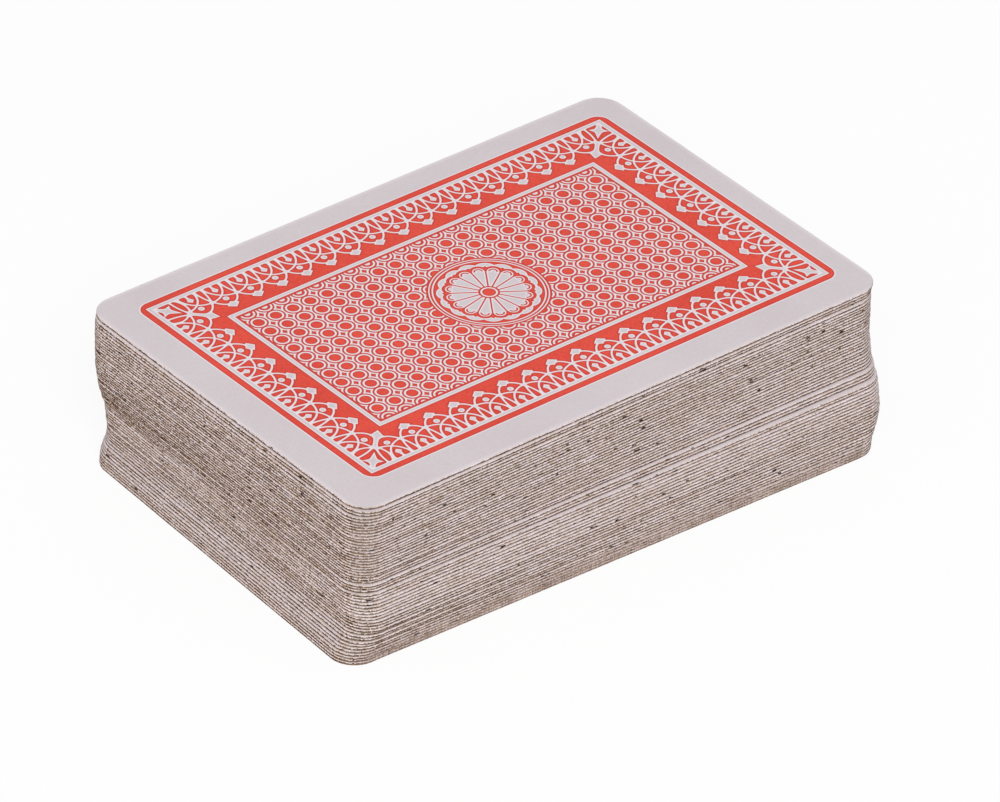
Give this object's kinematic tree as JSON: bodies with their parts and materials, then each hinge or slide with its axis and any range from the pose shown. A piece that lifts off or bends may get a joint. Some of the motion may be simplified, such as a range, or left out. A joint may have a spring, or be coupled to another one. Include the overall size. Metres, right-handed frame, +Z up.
{
  "type": "miniature playing card deck",
  "caption": "Small loose pack of playing cards lying back up in a slightly uneven stack, for card games and as a prop; each card can be drawn out lengthwise.",
  "frame": {"origin": "middle of the bottom card's underside", "axes": "+X along the bottom card's length, +Y across its width, +Z up through the stack"},
  "size_m": [0.0616, 0.0429, 0.0162],
  "materials": {
    "card_stock": "white paper faces on a grey-brown board, back printed in red, satin"
  },
  "bodies": {
    "ace_of_spades": {"ace_of_spades": "card_stock"},
    "two_of_spades": {"two_of_spades": "card_stock"},
    "three_of_spades": {"three_of_spades": "card_stock"},
    "four_of_spades": {"four_of_spades": "card_stock"},
    "five_of_spades": {"five_of_spades": "card_stock"},
    "six_of_spades": {"six_of_spades": "card_stock"},
    "seven_of_spades": {"seven_of_spades": "card_stock"},
    "eight_of_spades": {"eight_of_spades": "card_stock"},
    "nine_of_spades": {"nine_of_spades": "card_stock"},
    "ten_of_spades": {"ten_of_spades": "card_stock"},
    "jack_of_spades": {"jack_of_spades": "card_stock"},
    "queen_of_spades": {"queen_of_spades": "card_stock"},
    "king_of_spades": {"king_of_spades": "card_stock"},
    "ace_of_diamonds": {"ace_of_diamonds": "card_stock"},
    "two_of_diamonds": {"two_of_diamonds": "card_stock"},
    "three_of_diamonds": {"three_of_diamonds": "card_stock"},
    "four_of_diamonds": {"four_of_diamonds": "card_stock"},
    "five_of_diamonds": {"five_of_diamonds": "card_stock"},
    "six_of_diamonds": {"six_of_diamonds": "card_stock"},
    "seven_of_diamonds": {"seven_of_diamonds": "card_stock"},
    "eight_of_diamonds": {"eight_of_diamonds": "card_stock"},
    "nine_of_diamonds": {"nine_of_diamonds": "card_stock"},
    "ten_of_diamonds": {"ten_of_diamonds": "card_stock"},
    "jack_of_diamonds": {"jack_of_diamonds": "card_stock"},
    "queen_of_diamonds": {"queen_of_diamonds": "card_stock"},
    "king_of_diamonds": {"king_of_diamonds": "card_stock"},
    "ace_of_clubs": {"ace_of_clubs": "card_stock"},
    "two_of_clubs": {"two_of_clubs": "card_stock"},
    "three_of_clubs": {"three_of_clubs": "card_stock"},
    "four_of_clubs": {"four_of_clubs": "card_stock"},
    "five_of_clubs": {"five_of_clubs": "card_stock"},
    "six_of_clubs": {"six_of_clubs": "card_stock"},
    "seven_of_clubs": {"seven_of_clubs": "card_stock"},
    "eight_of_clubs": {"eight_of_clubs": "card_stock"},
    "nine_of_clubs": {"nine_of_clubs": "card_stock"},
    "ten_of_clubs": {"ten_of_clubs": "card_stock"},
    "jack_of_clubs": {"jack_of_clubs": "card_stock"},
    "queen_of_clubs": {"queen_of_clubs": "card_stock"},
    "king_of_clubs": {"king_of_clubs": "card_stock"},
    "ace_of_hearts": {"ace_of_hearts": "card_stock"},
    "two_of_hearts": {"two_of_hearts": "card_stock"},
    "three_of_hearts": {"three_of_hearts": "card_stock"},
    "four_of_hearts": {"four_of_hearts": "card_stock"},
    "five_of_hearts": {"five_of_hearts": "card_stock"},
    "six_of_hearts": {"six_of_hearts": "card_stock"},
    "seven_of_hearts": {"seven_of_hearts": "card_stock"},
    "eight_of_hearts": {"eight_of_hearts": "card_stock"},
    "nine_of_hearts": {"nine_of_hearts": "card_stock"},
    "ten_of_hearts": {"ten_of_hearts": "card_stock"},
    "jack_of_hearts": {"jack_of_hearts": "card_stock"},
    "queen_of_hearts": {"queen_of_hearts": "card_stock"},
    "king_of_hearts": {"king_of_hearts": "card_stock"},
    "red_joker": {"red_joker": "card_stock"},
    "black_joker": {"black_joker": "card_stock"}
  },
  "joints": [
    {"name": "black_joker_draw", "type": "slide", "parent": "ace_of_spades", "child": "black_joker", "axis": [1, 0, 0], "range_m": [-0.03, 0.03]},
    {"name": "red_joker_draw", "type": "slide", "parent": "ace_of_spades", "child": "red_joker", "axis": [1, 0, 0], "range_m": [-0.03, 0.03]},
    {"name": "king_of_hearts_draw", "type": "slide", "parent": "ace_of_spades", "child": "king_of_hearts", "axis": [1, 0, 0], "range_m": [-0.03, 0.03]},
    {"name": "queen_of_hearts_draw", "type": "slide", "parent": "ace_of_spades", "child": "queen_of_hearts", "axis": [1, 0, 0], "range_m": [-0.03, 0.03]},
    {"name": "jack_of_hearts_draw", "type": "slide", "parent": "ace_of_spades", "child": "jack_of_hearts", "axis": [1, 0, 0], "range_m": [-0.03, 0.03]},
    {"name": "ten_of_hearts_draw", "type": "slide", "parent": "ace_of_spades", "child": "ten_of_hearts", "axis": [1, 0, 0], "range_m": [-0.03, 0.03]},
    {"name": "nine_of_hearts_draw", "type": "slide", "parent": "ace_of_spades", "child": "nine_of_hearts", "axis": [1, 0, 0], "range_m": [-0.03, 0.03]},
    {"name": "eight_of_hearts_draw", "type": "slide", "parent": "ace_of_spades", "child": "eight_of_hearts", "axis": [1, 0, 0], "range_m": [-0.03, 0.03]},
    {"name": "seven_of_hearts_draw", "type": "slide", "parent": "ace_of_spades", "child": "seven_of_hearts", "axis": [1, 0, 0], "range_m": [-0.03, 0.03]},
    {"name": "six_of_hearts_draw", "type": "slide", "parent": "ace_of_spades", "child": "six_of_hearts", "axis": [1, 0, 0], "range_m": [-0.03, 0.03]},
    {"name": "five_of_hearts_draw", "type": "slide", "parent": "ace_of_spades", "child": "five_of_hearts", "axis": [1, 0, 0], "range_m": [-0.03, 0.03]},
    {"name": "four_of_hearts_draw", "type": "slide", "parent": "ace_of_spades", "child": "four_of_hearts", "axis": [1, 0, 0], "range_m": [-0.03, 0.03]},
    {"name": "three_of_hearts_draw", "type": "slide", "parent": "ace_of_spades", "child": "three_of_hearts", "axis": [1, 0, 0], "range_m": [-0.03, 0.03]},
    {"name": "two_of_hearts_draw", "type": "slide", "parent": "ace_of_spades", "child": "two_of_hearts", "axis": [1, 0, 0], "range_m": [-0.03, 0.03]},
    {"name": "ace_of_hearts_draw", "type": "slide", "parent": "ace_of_spades", "child": "ace_of_hearts", "axis": [1, 0, 0], "range_m": [-0.03, 0.03]},
    {"name": "king_of_clubs_draw", "type": "slide", "parent": "ace_of_spades", "child": "king_of_clubs", "axis": [1, 0, 0], "range_m": [-0.03, 0.03]},
    {"name": "queen_of_clubs_draw", "type": "slide", "parent": "ace_of_spades", "child": "queen_of_clubs", "axis": [1, 0, 0], "range_m": [-0.03, 0.03]},
    {"name": "jack_of_clubs_draw", "type": "slide", "parent": "ace_of_spades", "child": "jack_of_clubs", "axis": [1, 0, 0], "range_m": [-0.03, 0.03]},
    {"name": "ten_of_clubs_draw", "type": "slide", "parent": "ace_of_spades", "child": "ten_of_clubs", "axis": [1, 0, 0], "range_m": [-0.03, 0.03]},
    {"name": "nine_of_clubs_draw", "type": "slide", "parent": "ace_of_spades", "child": "nine_of_clubs", "axis": [1, 0, 0], "range_m": [-0.03, 0.03]},
    {"name": "eight_of_clubs_draw", "type": "slide", "parent": "ace_of_spades", "child": "eight_of_clubs", "axis": [1, 0, 0], "range_m": [-0.03, 0.03]},
    {"name": "seven_of_clubs_draw", "type": "slide", "parent": "ace_of_spades", "child": "seven_of_clubs", "axis": [1, 0, 0], "range_m": [-0.03, 0.03]},
    {"name": "six_of_clubs_draw", "type": "slide", "parent": "ace_of_spades", "child": "six_of_clubs", "axis": [1, 0, 0], "range_m": [-0.03, 0.03]},
    {"name": "five_of_clubs_draw", "type": "slide", "parent": "ace_of_spades", "child": "five_of_clubs", "axis": [1, 0, 0], "range_m": [-0.03, 0.03]},
    {"name": "four_of_clubs_draw", "type": "slide", "parent": "ace_of_spades", "child": "four_of_clubs", "axis": [1, 0, 0], "range_m": [-0.03, 0.03]},
    {"name": "three_of_clubs_draw", "type": "slide", "parent": "ace_of_spades", "child": "three_of_clubs", "axis": [1, 0, 0], "range_m": [-0.03, 0.03]},
    {"name": "two_of_clubs_draw", "type": "slide", "parent": "ace_of_spades", "child": "two_of_clubs", "axis": [1, 0, 0], "range_m": [-0.03, 0.03]},
    {"name": "ace_of_clubs_draw", "type": "slide", "parent": "ace_of_spades", "child": "ace_of_clubs", "axis": [1, 0, 0], "range_m": [-0.03, 0.03]},
    {"name": "king_of_diamonds_draw", "type": "slide", "parent": "ace_of_spades", "child": "king_of_diamonds", "axis": [1, 0, 0], "range_m": [-0.03, 0.03]},
    {"name": "queen_of_diamonds_draw", "type": "slide", "parent": "ace_of_spades", "child": "queen_of_diamonds", "axis": [1, 0, 0], "range_m": [-0.03, 0.03]},
    {"name": "jack_of_diamonds_draw", "type": "slide", "parent": "ace_of_spades", "child": "jack_of_diamonds", "axis": [1, 0, 0], "range_m": [-0.03, 0.03]},
    {"name": "ten_of_diamonds_draw", "type": "slide", "parent": "ace_of_spades", "child": "ten_of_diamonds", "axis": [1, 0, 0], "range_m": [-0.03, 0.03]},
    {"name": "nine_of_diamonds_draw", "type": "slide", "parent": "ace_of_spades", "child": "nine_of_diamonds", "axis": [1, 0, 0], "range_m": [-0.03, 0.03]},
    {"name": "eight_of_diamonds_draw", "type": "slide", "parent": "ace_of_spades", "child": "eight_of_diamonds", "axis": [1, 0, 0], "range_m": [-0.03, 0.03]},
    {"name": "seven_of_diamonds_draw", "type": "slide", "parent": "ace_of_spades", "child": "seven_of_diamonds", "axis": [1, 0, 0], "range_m": [-0.03, 0.03]},
    {"name": "six_of_diamonds_draw", "type": "slide", "parent": "ace_of_spades", "child": "six_of_diamonds", "axis": [1, 0, 0], "range_m": [-0.03, 0.03]},
    {"name": "five_of_diamonds_draw", "type": "slide", "parent": "ace_of_spades", "child": "five_of_diamonds", "axis": [1, 0, 0], "range_m": [-0.03, 0.03]},
    {"name": "four_of_diamonds_draw", "type": "slide", "parent": "ace_of_spades", "child": "four_of_diamonds", "axis": [1, 0, 0], "range_m": [-0.03, 0.03]},
    {"name": "three_of_diamonds_draw", "type": "slide", "parent": "ace_of_spades", "child": "three_of_diamonds", "axis": [1, 0, 0], "range_m": [-0.03, 0.03]},
    {"name": "two_of_diamonds_draw", "type": "slide", "parent": "ace_of_spades", "child": "two_of_diamonds", "axis": [1, 0, 0], "range_m": [-0.03, 0.03]},
    {"name": "ace_of_diamonds_draw", "type": "slide", "parent": "ace_of_spades", "child": "ace_of_diamonds", "axis": [1, 0, 0], "range_m": [-0.03, 0.03]},
    {"name": "king_of_spades_draw", "type": "slide", "parent": "ace_of_spades", "child": "king_of_spades", "axis": [1, 0, 0], "range_m": [-0.03, 0.03]},
    {"name": "queen_of_spades_draw", "type": "slide", "parent": "ace_of_spades", "child": "queen_of_spades", "axis": [1, 0, 0], "range_m": [-0.03, 0.03]},
    {"name": "jack_of_spades_draw", "type": "slide", "parent": "ace_of_spades", "child": "jack_of_spades", "axis": [1, 0, 0], "range_m": [-0.03, 0.03]},
    {"name": "ten_of_spades_draw", "type": "slide", "parent": "ace_of_spades", "child": "ten_of_spades", "axis": [1, 0, 0], "range_m": [-0.03, 0.03]},
    {"name": "nine_of_spades_draw", "type": "slide", "parent": "ace_of_spades", "child": "nine_of_spades", "axis": [1, 0, 0], "range_m": [-0.03, 0.03]},
    {"name": "eight_of_spades_draw", "type": "slide", "parent": "ace_of_spades", "child": "eight_of_spades", "axis": [1, 0, 0], "range_m": [-0.03, 0.03]},
    {"name": "seven_of_spades_draw", "type": "slide", "parent": "ace_of_spades", "child": "seven_of_spades", "axis": [1, 0, 0], "range_m": [-0.03, 0.03]},
    {"name": "six_of_spades_draw", "type": "slide", "parent": "ace_of_spades", "child": "six_of_spades", "axis": [1, 0, 0], "range_m": [-0.03, 0.03]},
    {"name": "five_of_spades_draw", "type": "slide", "parent": "ace_of_spades", "child": "five_of_spades", "axis": [1, 0, 0], "range_m": [-0.03, 0.03]},
    {"name": "four_of_spades_draw", "type": "slide", "parent": "ace_of_spades", "child": "four_of_spades", "axis": [1, 0, 0], "range_m": [-0.03, 0.03]},
    {"name": "three_of_spades_draw", "type": "slide", "parent": "ace_of_spades", "child": "three_of_spades", "axis": [1, 0, 0], "range_m": [-0.03, 0.03]},
    {"name": "two_of_spades_draw", "type": "slide", "parent": "ace_of_spades", "child": "two_of_spades", "axis": [1, 0, 0], "range_m": [-0.03, 0.03]}
  ]
}
